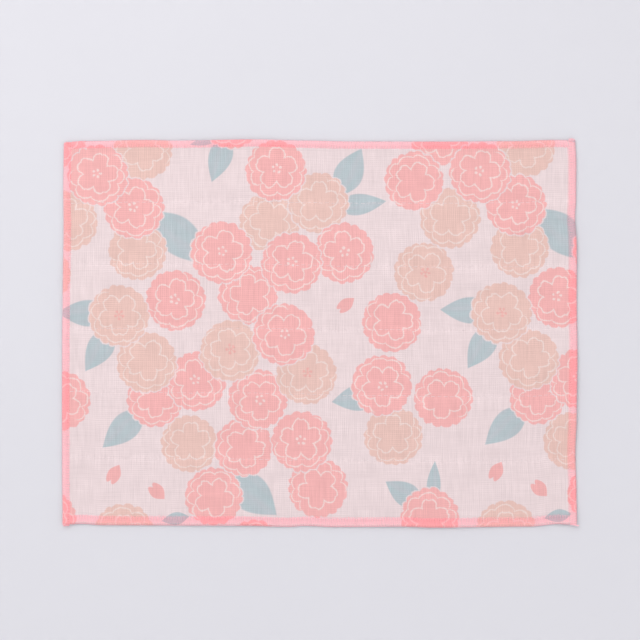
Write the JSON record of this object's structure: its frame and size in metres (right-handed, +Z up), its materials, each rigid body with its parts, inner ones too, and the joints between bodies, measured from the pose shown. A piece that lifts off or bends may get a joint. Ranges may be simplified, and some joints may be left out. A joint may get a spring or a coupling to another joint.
{
  "type": "dish cloth",
  "caption": "Layered gauze dish cloth spread out flat, sewn through in rows and edged all round with an overlocked band.",
  "frame": {"origin": "on the surface the cloth lies on, under the middle of its outline", "axes": "+X along the width, towards the right-hand edge; +Y along the depth, towards the far edge; +Z up, out of the printed side"},
  "size_m": [0.4014, 0.3031, 0.0036],
  "materials": {
    "gauze": "open plain weave gauze in several layers, matt, pale pink with a flower print",
    "edging_thread": "pink spun thread, overlocked, matt"
  },
  "bodies": {
    "root": {"gauze_panel": "gauze", "edging_left": "edging_thread", "edging_right": "edging_thread", "edging_top": "edging_thread", "edging_bottom": "edging_thread"}
  },
  "joints": []
}
